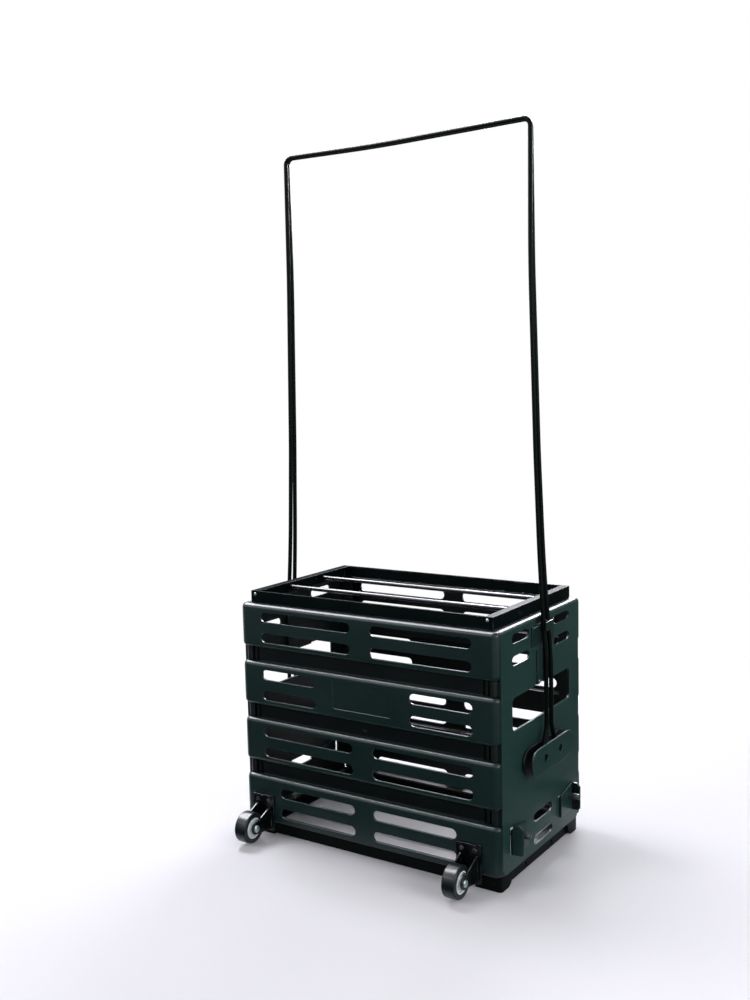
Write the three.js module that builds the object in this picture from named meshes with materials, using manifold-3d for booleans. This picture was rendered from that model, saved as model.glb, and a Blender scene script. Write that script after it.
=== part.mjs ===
// Ball cart: a slotted plastic basket with roller bars, two swinging wire handles that fold
// down as legs, and two fixed casters. Millimetres, +Z up, X along the long side, -Y the
// caster side. The origin is on the ground under the middle of the whole cart.
import * as THREE from 'three';
import { mergeVertices } from 'three/addons/utils/BufferGeometryUtils.js';
import Module from 'manifold-3d';

const wasm = await Module();
wasm.setup();

// Overall body
const bodyLength = 408;
const bodyDepth = 254;
const wallTop = 336.4;
const wallBottom = 21;
const wallThickness = 3;
const seatGap = 0.3;
const overrun = 6;

// Raised bands of the two long walls
const bandCount = 4;
const bandPitch = 82.7;
const bandHeight = 62;
const bandRelief = 9;
const bandEdgeRadius = 6;
const cornerRadius = 9;
const cornerSegments = 2;
const edgeSegments = 3;
const grooveInset = 25.5;

// Slots of the long walls
const slotHeight = 14;
const slotUpperDrop = 17;
const slotRowSpacing = 29.5;
const slotEnd = 168;
const slotStart = 15.5;
const slotStartLabelBand = 75;
const slotStartLowBand = 14.5;
const slotEndLowBand = 142.5;
const lowSlotExtraDrop = 3.3;
const slotSegments = 3;
const labelLength = 92;
const labelHeight = 38.5;
const labelDrop = 28.9;
const labelDepth = 0.6;
const labelCorner = 2.5;
const dimpleRadius = 3.2;
const dimpleDepth = 1;

// Corners where the walls hook together on a long pin
const cornerFlangeLength = 27;
const pinRadius = 2;
const pinClearance = 0.3;
const pinSegments = 8;
const pinInsetX = 10;
const knuckleRadius = 4.5;
const knuckleClearance = 0.5;
const cornerBarWidth = 3;
const cornerBarInset = 21;

// End walls
const endSlotInner = 37.5;
const endSlotOuter = 87;
const endSlotHeight = 12.5;
const endSlotUpperDrop = 16.4;
const endSlotSpacing = 28.5;
const windowHalfWidth = 87;
const windowHeight = 43;
const windowDrop = 91.9;
const windowCorner = 7;
const lowEndSlotHalf = 28.5;
const lowEndSlotHeight = 13;
const lowEndSlotRise = 46;
const lowEndSlotSpacing = 30.5;
const lowerCornerChamfer = 9;
const notchHalfWidth = 18;
const notchHeight = 10.4;
const notchDepth = 5;
const channelHalfWidth = 23;
const channelHeight = 47;
const channelDepth = 2;
const channelBackHalfWidth = 28;
const channelRibInner = 5;
const channelRibOuter = 14;

// Snap tongues cut in the end walls beside the leg catches
const tongueSlitWidth = 6;
const tongueSlitOuter = 96.5;
const tongueBottom = 41;
const tongueTop = 79.5;
const tongueSlopeDrop = 8.5;
const tongueInner = 49;
const tongueSlitHeight = 5;

// Top and bottom frames with their roller bars
const frameSideInset = 11.5;
const frameFrontInset = 12;
const lowFrameSideInset = 7;
const topFrameHeight = 16.3;
const bottomFrameHeight = 19;
const frameThickness = 2.5;
const frameFlange = 12;
const frameFlangeThickness = 2;
const frameLip = 3.5;
const ledgeOverlap = 7;
const barRadius = 3;
const barClearance = 0.3;
const barSpacing = 80;
const barDrop = 6.3;
const barSegments = 12;

// Wire handles
const wireRadius = 3.1;
const wireSides = 8;
const gripHeight = 966.8;
const gripHalfLength = 193.4;
const gripSplit = 3.4;
const gripShift = 1;
const gripTilt = 1.9;
const gripSag = 3.6;
const gripSagOffset = 40;
const gripBend = 10;
const legBowHeight = 790;
const legBowX = 193.3;
const legBowY = 3.8;
const legWaistHeight = 550;
const legWaistX = 198.8;
const legWaistY = 4.6;
const legBreakHeight = 395;
const legBreakX = 204.6;
const legBreakY = 5.6;
const legLowHeight = 276;
const legLowX = 213.2;
const legLowY = 7.6;
const legLowBend = 600;
const legKinkHeight = 187;
const legKinkBend = 14;
const slightBend = 3000;
const bendSegments = 5;
const kinkSegments = 4;
const slightSegments = 2;

// Handle pivots
const pivotHalfSpacing = 22.6;
const pivotHeight = 151;
const eyeRadius = 6.6;
const eyeThickness = 6;
const eyeSegments = 16;
const pivotPinRadius = 3;
const bracketHalfLength = 64;
const bracketHeight = 36;
const bracketReach = 16;
const bracketOuterThickness = 3;
const bracketInnerThickness = 3.5;
const bracketWebHalfWidth = 9.5;
const bracketWebHeight = 30;
const bracketWebRise = 2;
const pinHeadRadius = 5;
const pinHeadThickness = 1;
const pinHeadClearance = 0.3;

// Clip that holds both upright handles
const clipHalfWidth = 33;
const clipHeight = 28;
const clipPadThickness = 1.6;
const clipHeadHalfWidth = 11;
const clipHeadHeight = 12;
const clipHeadThickness = 2.2;
const clipHeadOverTop = 2.5;
const clipLipInset = 3;
const clipScrewOffset = 8.5;
const clipScrewRadius = 2;
const clipScrewHeight = 1;

// Leg catches
const catchPlateOuter = 90;
const catchPlateThickness = 3;
const catchPlateReach = 15;
const catchPlateBottom = 41;
const catchPlateTop = 80;
const catchPlateCut = 5;
const catchPadThickness = 3;
const catchToe = 51;
const catchSlopeDrop = 8;
const pegRadius = 4;
const pegReach = 19;
const pegOffset = 77.8;
const pegHeight = 64.5;
const pegSegments = 14;
const pegChamfer = 0.8;

// Corner feet
const footWall = 2;
const footSideWall = 4.2;
const footSoleWidth = 9;
const footLength = 38;
const footSideLength = 34;
const footSideCut = 14;
const footChamfer = 3;
const footScrewInset = 11;
const footScrewHeight = 11;

// Casters on the front wall
const casterRightX = 161.2;
const casterLeftX = -170.8;
const casterPlateWidth = 36;
const casterPlateTop = 63.5;
const casterPlateBottom = 10.5;
const casterPlateThickness = 2.5;
const casterPlateCorner = 3;
const casterLipReach = 4;
const casterLipThickness = 2.5;
const wheelRadius = 21.4;
const wheelWidth = 19;
const wheelOffset = 36.1;
const wheelHeight = 25.6;
const hubRadius = 14.5;
const hubWidth = 18;
const hubRimWidth = 3;
const hubDish = 3;
const bossRadius = 6.5;
const axleRadius = 3;
const axleHeadRadius = 5;
const axleHeadThickness = 2.2;
const axleClearance = 0.3;
const treadRadius = 2.2;
const wheelSegments = 24;
const cheekGap = 1.4;
const cheekThickness = 2;
const cheekTipRadius = 8.5;
const cheekTop = 48;
const cheekBottom = 14;
const boltRadius = 3;
const boltHeight = 1.8;
const boltSpacing = 19;
const boltDrop = 8.5;

// Small screws
const screwRadius = 2.1;
const screwHeight = 0.9;
const screwSegments = 10;
const frameScrewInset = 8;
const frameScrewDrop = 4.5;

const halfLength = bodyLength / 2;
const halfDepth = bodyDepth / 2;
const wallInnerY = halfDepth - bandRelief - wallThickness;
const seamY = halfDepth - cornerRadius;
const panelInnerX = halfLength - wallThickness;
const frameHalfLength = halfLength - frameSideInset;
const frameHalfDepth = halfDepth - frameFrontInset;
const lowFrameHalfLength = halfLength - lowFrameSideInset;
const lowFrameBottom = wallBottom - seatGap - bottomFrameHeight;
const ledgeX = frameHalfLength - ledgeOverlap;
const ledgeY = frameHalfDepth - ledgeOverlap;
const topFrameBottom = wallTop + seatGap;
const pinX = halfLength - pinInsetX;
const pinY = wallInnerY + wallThickness;
const wheelY = -(halfDepth + wheelOffset);
const originShift = (wheelOffset + wheelRadius) / 2;

const plastic = { color: 0x17221f, roughness: 0.52, metalness: 0 };
const endPlastic = { color: 0x1b2b27, roughness: 0.55, metalness: 0 };
const wirePaint = { color: 0x0e1412, roughness: 0.38, metalness: 0.3 };
const framePaint = { color: 0x141a19, roughness: 0.45, metalness: 0.3 };
const barPaint = { color: 0x232829, roughness: 0.3, metalness: 0.5 };
const rubber = { color: 0x101113, roughness: 0.35, metalness: 0 };
const hubPlastic = { color: 0xcfd4d2, roughness: 0.45, metalness: 0 };
const zinc = { color: 0x9aa3a3, roughness: 0.35, metalness: 0.9 };
const darkZinc = { color: 0x33383a, roughness: 0.4, metalness: 0.8 };
const footPlastic = { color: 0x0c1110, roughness: 0.6, metalness: 0 };

// Turns a closed three.js geometry into a solid that can be cut and joined.
function toSolid(geometry) {
  const bare = geometry.clone();
  bare.deleteAttribute('normal');
  bare.deleteAttribute('uv');
  const merged = mergeVertices(bare);
  const vertProperties = new Float32Array(merged.attributes.position.array);
  const triVerts = new Uint32Array(merged.index.array);
  return new wasm.Manifold(new wasm.Mesh({ numProp: 3, vertProperties, triVerts }));
}

function toGeometry(solid) {
  const { vertProperties, triVerts, numProp } = solid.getMesh();
  const positions = new Float32Array((vertProperties.length / numProp) * 3);
  for (let i = 0; i < positions.length / 3; i += 1) {
    positions.set(vertProperties.subarray(i * numProp, i * numProp + 3), i * 3);
  }
  const geometry = new THREE.BufferGeometry();
  geometry.setAttribute('position', new THREE.BufferAttribute(positions, 3));
  geometry.setIndex(Array.from(triVerts));
  geometry.computeVertexNormals();
  return geometry;
}

function joinAll(solids) {
  return solids.reduce((whole, next) => whole.add(next));
}

function cutAll(solid, cutters) {
  return cutters.reduce((whole, cutter) => whole.subtract(cutter), solid);
}

// Axis-aligned block between two corners.
function block(x0, x1, y0, y1, z0, z1) {
  const geometry = new THREE.BoxGeometry(Math.abs(x1 - x0), Math.abs(y1 - y0), Math.abs(z1 - z0));
  geometry.translate((x0 + x1) / 2, (y0 + y1) / 2, (z0 + z1) / 2);
  return toSolid(geometry);
}

// A drawn outline pushed along one axis: for X it is drawn in Y and Z, for Y in X and Z.
function prism(shape, axis, from, to, segments = slotSegments) {
  const geometry = new THREE.ExtrudeGeometry(shape, {
    depth: to - from,
    bevelEnabled: false,
    curveSegments: segments,
  });
  const basis = new THREE.Matrix4();
  const unitX = new THREE.Vector3(1, 0, 0);
  const unitY = new THREE.Vector3(0, 1, 0);
  const unitZ = new THREE.Vector3(0, 0, 1);
  if (axis === 'x') {
    basis.makeBasis(unitY, unitZ, unitX);
    geometry.applyMatrix4(basis);
    geometry.translate(from, 0, 0);
  } else if (axis === 'y') {
    basis.makeBasis(unitX, unitZ, unitY.negate());
    geometry.applyMatrix4(basis);
    geometry.translate(0, to, 0);
  } else {
    geometry.translate(0, 0, from);
  }
  return toSolid(geometry);
}

// Round bar along an axis, centred on the two other coordinates in X, Y, Z order.
function roundBar(axis, radius, from, to, a, b, segments, endRadius = radius) {
  const geometry = new THREE.CylinderGeometry(endRadius, radius, to - from, segments);
  const mid = (from + to) / 2;
  if (axis === 'x') {
    geometry.rotateZ(-Math.PI / 2);
    geometry.translate(mid, a, b);
  } else if (axis === 'y') {
    geometry.translate(a, mid, b);
  } else {
    geometry.rotateX(Math.PI / 2);
    geometry.translate(a, b, mid);
  }
  return toSolid(geometry);
}

function roundedOutline(u0, u1, v0, v1, radius) {
  const shape = new THREE.Shape();
  shape.moveTo(u0 + radius, v0);
  shape.lineTo(u1 - radius, v0);
  shape.absarc(u1 - radius, v0 + radius, radius, -Math.PI / 2, 0, false);
  shape.lineTo(u1, v1 - radius);
  shape.absarc(u1 - radius, v1 - radius, radius, 0, Math.PI / 2, false);
  shape.lineTo(u0 + radius, v1);
  shape.absarc(u0 + radius, v1 - radius, radius, Math.PI / 2, Math.PI, false);
  shape.lineTo(u0, v0 + radius);
  shape.absarc(u0 + radius, v0 + radius, radius, Math.PI, Math.PI * 1.5, false);
  return shape;
}

function polygon(points) {
  return new THREE.Shape(points.map(([u, v]) => new THREE.Vector2(u, v)));
}

// Long slot with round ends.
function slotOutline(u0, u1, v, height) {
  const radius = height / 2;
  const shape = new THREE.Shape();
  shape.moveTo(u0 + radius, v - radius);
  shape.lineTo(u1 - radius, v - radius);
  shape.absarc(u1 - radius, v, radius, -Math.PI / 2, Math.PI / 2, false);
  shape.lineTo(u0 + radius, v + radius);
  shape.absarc(u0 + radius, v, radius, Math.PI / 2, Math.PI * 1.5, false);
  return shape;
}

function mirrorX(solid) {
  return solid.scale([-1, 1, 1]);
}

function mirrorY(solid) {
  return solid.scale([1, -1, 1]);
}

function makeMesh(name, solid, look) {
  const mesh = new THREE.Mesh(toGeometry(solid), new THREE.MeshStandardMaterial(look));
  mesh.name = name;
  return mesh;
}

function bandTopAt(row) {
  return wallTop - row * bandPitch;
}

function bandBottomAt(row) {
  return row === bandCount - 1 ? wallBottom : bandTopAt(row) - bandHeight;
}

// Slab with rounded front corners in plan and rounded top and bottom front edges.
function roundedSlab(inset, edgeRadius, z0, z1) {
  const corner = Math.max(cornerRadius - inset, 0);
  const edge = Math.min(edgeRadius, corner);
  const outX = halfLength - inset;
  const outY = -(halfDepth - inset);
  const shape = new THREE.Shape();
  shape.moveTo(-outX, 0);
  shape.lineTo(-outX, outY + corner);
  shape.absarc(-outX + corner, outY + corner, corner, Math.PI, Math.PI * 1.5, false);
  shape.lineTo(outX - corner, outY);
  shape.absarc(outX - corner, outY + corner, corner, -Math.PI / 2, 0, false);
  shape.lineTo(outX, 0);
  const geometry = new THREE.ExtrudeGeometry(shape, {
    depth: z1 - z0 - 2 * edge,
    curveSegments: cornerSegments,
    bevelEnabled: edge > 0,
    bevelThickness: edge,
    bevelSize: edge,
    bevelOffset: -edge,
    bevelSegments: edgeSegments,
  });
  geometry.translate(0, 0, z0 + edge);
  return toSolid(geometry);
}

function longWallSlots() {
  const cutters = [];
  for (let row = 0; row < bandCount; row += 1) {
    const low = row === bandCount - 1;
    const start = [slotStart, slotStartLabelBand, slotStart, slotStartLowBand][row];
    const end = low ? slotEndLowBand : slotEnd;
    const upper = bandTopAt(row) - slotUpperDrop - (low ? lowSlotExtraDrop : 0);
    for (const z of [upper, upper - slotRowSpacing]) {
      const outline = slotOutline(start, end, z, slotHeight);
      const cutter = prism(outline, 'y', -halfDepth - overrun, -wallInnerY + overrun);
      cutters.push(cutter, mirrorX(cutter));
    }
  }
  return cutters;
}

// Front wall: four hollow bands joined by recessed groove floors, open behind.
function buildLongWall() {
  let wall = null;
  for (let row = 0; row < bandCount; row += 1) {
    const z0 = bandBottomAt(row);
    const z1 = bandTopAt(row);
    const outer = roundedSlab(0, bandEdgeRadius, z0, z1);
    const inner = roundedSlab(wallThickness, 0, z0 + wallThickness, z1 - wallThickness);
    const band = outer.subtract(inner);
    wall = wall ? wall.add(band) : band;
  }
  const keep = block(-halfLength, halfLength, -halfDepth - overrun, -wallInnerY, 0, wallTop + overrun);
  wall = wall.intersect(keep);
  for (let row = 0; row < bandCount - 1; row += 1) {
    const floorX = halfLength - grooveInset;
    const z0 = bandTopAt(row + 1) - wallThickness;
    const z1 = bandBottomAt(row) + wallThickness;
    wall = wall.add(block(-floorX, floorX, -wallInnerY - wallThickness, -wallInnerY, z0, z1));
  }
  const ledgeEnd = ledgeX - seatGap;
  for (const z0 of [wallBottom, wallTop - wallThickness]) {
    const ledgeStart = -wallInnerY - wallThickness;
    wall = wall.add(block(-ledgeEnd, ledgeEnd, ledgeStart, -ledgeY, z0, z0 + wallThickness));
  }
  const returnEnd = -seamY - seatGap;
  const returnIn = panelInnerX - seatGap;
  const cornerCut = block(returnIn, halfLength + overrun, returnEnd, 0, 0, wallTop + overrun);
  const pinHole = roundBar('z', pinRadius + pinClearance, wallBottom + wallThickness,
    wallTop - wallThickness, pinX, -pinY, pinSegments);
  const labelMid = bandTopAt(1) - labelDrop;
  const label = prism(
    roundedOutline(-labelLength / 2, labelLength / 2, labelMid - labelHeight / 2,
      labelMid + labelHeight / 2, labelCorner),
    'y', -halfDepth - overrun, -halfDepth + labelDepth, 1);
  const dimpleZ = (bandBottomAt(1) + bandTopAt(2)) / 2;
  const dimple = roundBar('y', dimpleRadius, -halfDepth - overrun,
    -wallInnerY - wallThickness + dimpleDepth, 0, dimpleZ, barSegments);
  const cutters = [...longWallSlots(), label, dimple];
  for (const cutter of [cornerCut, pinHole]) {
    cutters.push(cutter, mirrorX(cutter));
  }
  return cutAll(wall, cutters);
}

// Ear of the end wall that the corner pin runs through, one in each groove.
function cornerKnuckle(row) {
  const z0 = bandTopAt(row + 1) + knuckleClearance;
  const z1 = bandBottomAt(row) - knuckleClearance;
  const ring = roundBar('z', knuckleRadius, z0, z1, pinX, -pinY, pinSegments);
  const web = block(pinX - knuckleRadius / 2, panelInnerX + wallThickness / 2,
    -pinY, -wallInnerY + wallThickness, z0, z1);
  const barX = halfLength - cornerBarInset;
  const bar = block(barX, barX + cornerBarWidth, -wallInnerY - wallThickness,
    -wallInnerY + wallThickness, z0, z1);
  return joinAll([ring, web, bar]);
}

function endPanelOutline() {
  const half = seamY;
  return polygon([
    [-half + lowerCornerChamfer, wallBottom],
    [half - lowerCornerChamfer, wallBottom],
    [half, wallBottom + lowerCornerChamfer],
    [half, wallTop],
    [-half, wallTop],
    [-half, wallBottom + lowerCornerChamfer],
  ]);
}

// Spring tongue: a slit up the outer side and along the sloping top of the tongue.
function tongueSlit() {
  const outer = tongueSlitOuter;
  const inner = outer - tongueSlitWidth;
  return polygon([
    [inner, tongueBottom],
    [outer, tongueBottom],
    [outer, tongueTop],
    [tongueInner, tongueTop - tongueSlopeDrop],
    [tongueInner, tongueTop - tongueSlopeDrop - tongueSlitHeight / 2],
    [inner, tongueTop - tongueSlitHeight],
  ]);
}

function endWallCutters() {
  const from = ledgeX - overrun;
  const to = halfLength + overrun;
  const upper = wallTop - endSlotUpperDrop;
  const cutters = [];
  for (const z of [upper, upper - endSlotSpacing]) {
    const slot = prism(slotOutline(endSlotInner, endSlotOuter, z, endSlotHeight), 'x', from, to);
    cutters.push(slot, mirrorY(slot));
  }
  const windowTop = wallTop - windowDrop;
  cutters.push(prism(
    roundedOutline(-windowHalfWidth, windowHalfWidth, windowTop - windowHeight, windowTop, windowCorner),
    'x', from, to));
  const low = wallBottom + lowEndSlotRise;
  for (const z of [low, low - lowEndSlotSpacing]) {
    const outline = slotOutline(-lowEndSlotHalf, lowEndSlotHalf, z, lowEndSlotHeight);
    cutters.push(prism(outline, 'x', from, to));
  }
  const slit = prism(tongueSlit(), 'x', from, to);
  cutters.push(slit, mirrorY(slit));
  cutters.push(block(halfLength - notchDepth, to, -notchHalfWidth, notchHalfWidth,
    wallTop - notchHeight, wallTop - wallThickness));
  const channelTop = windowTop + channelHeight;
  const channelFloor = halfLength - channelDepth;
  for (const [y0, y1] of [
    [-channelHalfWidth, -channelRibOuter],
    [-channelRibInner, channelRibInner],
    [channelRibOuter, channelHalfWidth],
  ]) {
    cutters.push(block(channelFloor, to, y0, y1, windowTop, channelTop));
  }
  return cutters;
}

// Right end wall: flat panel, rounded top edge, inner ledge, corner flanges and pin ears.
function buildEndWall() {
  const edge = bandEdgeRadius;
  const shape = new THREE.Shape();
  shape.moveTo(panelInnerX, wallBottom);
  shape.lineTo(halfLength, wallBottom);
  shape.lineTo(halfLength, wallTop - edge);
  shape.absarc(halfLength - edge, wallTop - edge, edge, 0, Math.PI / 2, false);
  shape.lineTo(ledgeX, wallTop);
  shape.lineTo(ledgeX, wallTop - wallThickness);
  shape.lineTo(panelInnerX, wallTop - wallThickness);
  const section = prism(shape, 'y', -seamY, seamY, cornerSegments);
  const outline = prism(endPanelOutline(), 'x', panelInnerX, halfLength + overrun);
  const inside = block(0, panelInnerX + wallThickness / 2, -wallInnerY + seatGap, wallInnerY - seatGap,
    0, wallTop + overrun);
  const panel = section.intersect(outline.add(inside));
  const flangeX = halfLength - cornerFlangeLength;
  const flangeY = wallInnerY - seatGap;
  const flangeBottom = wallBottom + lowerCornerChamfer;
  const flange = block(flangeX, panelInnerX + wallThickness / 2, -flangeY, -flangeY + wallThickness,
    flangeBottom, wallTop - wallThickness - seatGap);
  const pieces = [flange];
  for (let row = 0; row < bandCount - 1; row += 1) {
    pieces.push(cornerKnuckle(row));
  }
  const corner = joinAll(pieces);
  const windowTop = wallTop - windowDrop;
  const backX = halfLength - notchDepth - wallThickness;
  const back = block(backX, panelInnerX + wallThickness / 2, -channelBackHalfWidth, channelBackHalfWidth,
    windowTop, wallTop - wallThickness / 2);
  const lowBack = block(ledgeX, panelInnerX + wallThickness / 2, -ledgeY, ledgeY,
    wallBottom, wallBottom + wallThickness);
  const body = joinAll([panel, corner, mirrorY(corner), back, lowBack]);
  const pinHole = roundBar('z', pinRadius + pinClearance, 0, wallTop + overrun, pinX, -pinY, pinSegments);
  return cutAll(body, [...endWallCutters(), pinHole, mirrorY(pinHole)]);
}

// Angle-iron ring: upright sides, wide flanges on the short sides, narrow lips on the long ones.
function buildFrame(halfX, height, flangeUp) {
  const outer = block(-halfX, halfX, -frameHalfDepth, frameHalfDepth, 0, height);
  const inX = halfX - frameThickness;
  const inY = frameHalfDepth - frameThickness;
  const flangeStart = flangeUp ? -overrun : frameFlangeThickness;
  const flangeEnd = flangeUp ? height - frameFlangeThickness : height + overrun;
  const hollow = block(-inX, inX, -inY, inY, flangeStart, flangeEnd);
  const mouthX = halfX - frameFlange;
  const mouthY = frameHalfDepth - frameLip;
  const mouth = block(-mouthX, mouthX, -mouthY, mouthY, -overrun, height + overrun);
  const barZ = flangeUp ? height - barDrop : barDrop;
  const bore = roundBar('x', barRadius + barClearance, -halfX - overrun, halfX + overrun,
    -barSpacing / 2, barZ, barSegments);
  return cutAll(outer, [hollow, mouth, bore, mirrorY(bore)]);
}

function buildBar(halfX) {
  const shaft = halfX - frameThickness / 2;
  return roundBar('x', barRadius, -shaft, shaft, -barSpacing / 2, 0, barSegments);
}

// A path through listed points, so straight runs stay one step long.
class ListedPath extends THREE.Curve {
  constructor(points) {
    super();
    this.points = points;
  }

  getPoint(t) {
    const place = t * (this.points.length - 1);
    const index = Math.min(Math.floor(place), this.points.length - 2);
    return this.points[index].clone().lerp(this.points[index + 1], place - index);
  }

  getPointAt(t) {
    return this.getPoint(t);
  }

  getTangentAt(t) {
    const last = this.points.length - 1;
    const index = Math.round(t * last);
    const tangent = new THREE.Vector3();
    if (index > 0) {
      tangent.add(this.points[index].clone().sub(this.points[index - 1]).normalize());
    }
    if (index < last) {
      tangent.add(this.points[index + 1].clone().sub(this.points[index]).normalize());
    }
    return tangent.normalize();
  }

  getSpacedPoints() {
    return this.points;
  }
}

// Points of a wire with each corner replaced by a bend of the given radius.
function bentWire(corners) {
  const points = [corners[0].at];
  for (let i = 1; i < corners.length - 1; i += 1) {
    const { at, bend, steps } = corners[i];
    const back = corners[i - 1].at.clone().sub(at).normalize();
    const ahead = corners[i + 1].at.clone().sub(at).normalize();
    const turn = Math.PI - back.angleTo(ahead);
    const reach = bend * Math.tan(turn / 2);
    const middle = back.clone().add(ahead).normalize();
    const centre = at.clone().addScaledVector(middle, bend / Math.cos(turn / 2));
    const start = at.clone().addScaledVector(back, reach).sub(centre);
    const axis = back.clone().cross(ahead).normalize();
    for (let k = 0; k <= steps; k += 1) {
      const angle = -(turn * k) / steps;
      points.push(start.clone().applyAxisAngle(axis, angle).add(centre));
    }
  }
  points.push(corners[corners.length - 1].at);
  return points;
}

function wireSection() {
  const shape = new THREE.Shape();
  for (let i = 0; i < wireSides; i += 1) {
    const angle = ((i + 1 / 2) * 2 * Math.PI) / wireSides;
    const u = wireRadius * Math.cos(angle);
    const v = wireRadius * Math.sin(angle);
    if (i === 0) {
      shape.moveTo(u, v);
    } else {
      shape.lineTo(u, v);
    }
  }
  return shape;
}

// Front handle with sign 1, back one with -1: one bent wire from eye to eye over the grip.
function buildHandle(sign) {
  function legCorners(side) {
    const at = (x, y, z) => new THREE.Vector3(side * x, -sign * y, z);
    const gripX = side * gripHalfLength + sign * gripShift;
    return [
      { at: at(legLowX, pivotHalfSpacing, pivotHeight) },
      { at: at(legLowX, legLowY, legKinkHeight), bend: legKinkBend, steps: kinkSegments },
      { at: at(legLowX, legLowY, legLowHeight), bend: legLowBend, steps: slightSegments },
      { at: at(legBreakX, legBreakY, legBreakHeight), bend: slightBend, steps: slightSegments },
      { at: at(legWaistX, legWaistY, legWaistHeight), bend: slightBend, steps: slightSegments },
      { at: at(legBowX, legBowY, legBowHeight), bend: slightBend, steps: slightSegments },
      {
        at: new THREE.Vector3(gripX, -sign * gripSplit, gripHeight + side * gripTilt),
        bend: gripBend,
        steps: bendSegments,
      },
    ];
  }
  const sag = {
    at: new THREE.Vector3(-gripSagOffset, -sign * gripSplit, gripHeight - gripSag),
    bend: slightBend,
    steps: slightSegments,
  };
  const points = bentWire([...legCorners(1), sag, ...legCorners(-1).reverse()]);
  const wire = new THREE.ExtrudeGeometry(wireSection(), {
    steps: points.length - 1,
    extrudePath: new ListedPath(points),
    bevelEnabled: false,
  });
  const pivotY = -sign * pivotHalfSpacing;
  const eye = roundBar('x', eyeRadius, legLowX - eyeThickness / 2, legLowX + eyeThickness / 2,
    pivotY, pivotHeight, eyeSegments);
  const hole = roundBar('x', pivotPinRadius + pinClearance, legLowX - eyeThickness, legLowX + eyeThickness,
    pivotY, pivotHeight, barSegments);
  const whole = joinAll([toSolid(wire), eye, mirrorX(eye)]);
  return cutAll(whole, [hole, mirrorX(hole)]);
}

// Right pivot bracket: a plate on the wall, a plate outside the wires and a web between them.
function buildBracket() {
  const inner = halfLength + seatGap;
  const outer = halfLength + bracketReach;
  const outline = slotOutline(-bracketHalfLength, bracketHalfLength, pivotHeight, bracketHeight);
  const wallPlate = prism(outline, 'x', inner, inner + bracketInnerThickness);
  const facePlate = prism(outline, 'x', outer - bracketOuterThickness, outer);
  const webBottom = pivotHeight - bracketHeight / 2 + bracketWebRise;
  const web = block(inner, outer, -bracketWebHalfWidth, bracketWebHalfWidth,
    webBottom, webBottom + bracketWebHeight);
  const hole = roundBar('x', pivotPinRadius + pinClearance, halfLength, outer + overrun,
    -pivotHalfSpacing, pivotHeight, barSegments);
  const headHole = roundBar('x', pinHeadRadius + pinHeadClearance, outer - bracketOuterThickness - seatGap,
    outer + overrun, -pivotHalfSpacing, pivotHeight, eyeSegments);
  const cutters = [hole, headHole];
  return cutAll(joinAll([wallPlate, facePlate, web]), [...cutters, ...cutters.map(mirrorY)]);
}

function buildPivotPin() {
  const inner = halfLength + 2 * seatGap;
  const headIn = halfLength + bracketReach - bracketOuterThickness;
  const headOut = headIn + pinHeadThickness;
  const shank = roundBar('x', pivotPinRadius, inner, headOut - pinHeadThickness / 2, -pivotHalfSpacing,
    pivotHeight, barSegments);
  const head = roundBar('x', pinHeadRadius, headIn, headOut, -pivotHalfSpacing, pivotHeight, eyeSegments);
  return joinAll([shank, head]);
}

function legShareAt(z) {
  return (z - legLowHeight) / (legBreakHeight - legLowHeight);
}

function legXAt(z) {
  return legLowX + (legBreakX - legLowX) * legShareAt(z);
}

function legYAt(z) {
  return legLowY + (legBreakY - legLowY) * legShareAt(z);
}

// Right handle clip: a pad on the wall and a T finger whose head stands outside both wires.
function buildClip() {
  const inner = halfLength + seatGap;
  const padTop = wallTop - notchHeight;
  const padOuter = inner + clipPadThickness;
  const pad = block(inner, padOuter, -clipHalfWidth, clipHalfWidth, padTop - clipHeight, padTop);
  const headTop = padTop + clipHeadOverTop;
  const headBottom = headTop - clipHeadHeight;
  const headIn = legXAt(headBottom) + wireRadius + 2 * seatGap;
  const head = block(headIn, headIn + clipHeadThickness, -clipHeadHalfWidth, clipHeadHalfWidth,
    headBottom, headTop);
  const stemHalf = legYAt(headTop) - wireRadius - seatGap;
  const stem = block(inner, headIn + clipHeadThickness / 2, -stemHalf, stemHalf, headBottom, headTop);
  const relief = block(inner, padOuter + overrun, clipHeadHalfWidth, clipHalfWidth - clipLipInset,
    padTop - clipLipInset, padTop + overrun);
  const notch = relief.subtract(block(inner, inner + clipPadThickness / 2, 0, clipHalfWidth,
    0, padTop + overrun));
  return joinAll([pad, stem, head]).subtract(notch).subtract(mirrorY(notch));
}

// Front right leg catch: a pad with a sloping top and a stop plate that the leg meets.
function buildCatch() {
  const base = halfLength + seatGap;
  const plateInner = catchPlateOuter - catchPlateThickness;
  const pad = prism(polygon([
    [-plateInner - catchPlateThickness / 2, catchPlateBottom],
    [-catchToe, catchPlateBottom],
    [-catchToe, catchPlateTop - catchSlopeDrop],
    [-plateInner - catchPlateThickness / 2, catchPlateTop],
  ]), 'x', base, base + catchPadThickness);
  const reach = halfLength + catchPlateReach;
  const plate = prism(polygon([
    [base, catchPlateBottom],
    [reach - catchPlateCut / 2, catchPlateBottom],
    [reach, catchPlateBottom + catchPlateCut / 2],
    [reach, catchPlateTop - catchPlateCut],
    [reach - catchPlateCut, catchPlateTop],
    [base, catchPlateTop],
  ]), 'y', -catchPlateOuter, -plateInner);
  return pad.add(plate);
}

// Front right catch peg, seated on the pad of the leg catch.
function buildPeg() {
  const root = halfLength + seatGap + catchPadThickness + seatGap;
  const tip = halfLength + pegReach;
  const shank = roundBar('x', pegRadius, root, tip - pegChamfer, -pegOffset, pegHeight, pegSegments);
  const end = roundBar('x', pegRadius, tip - pegChamfer, tip, -pegOffset, pegHeight, pegSegments,
    pegRadius - pegChamfer);
  return shank.add(end);
}

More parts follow.
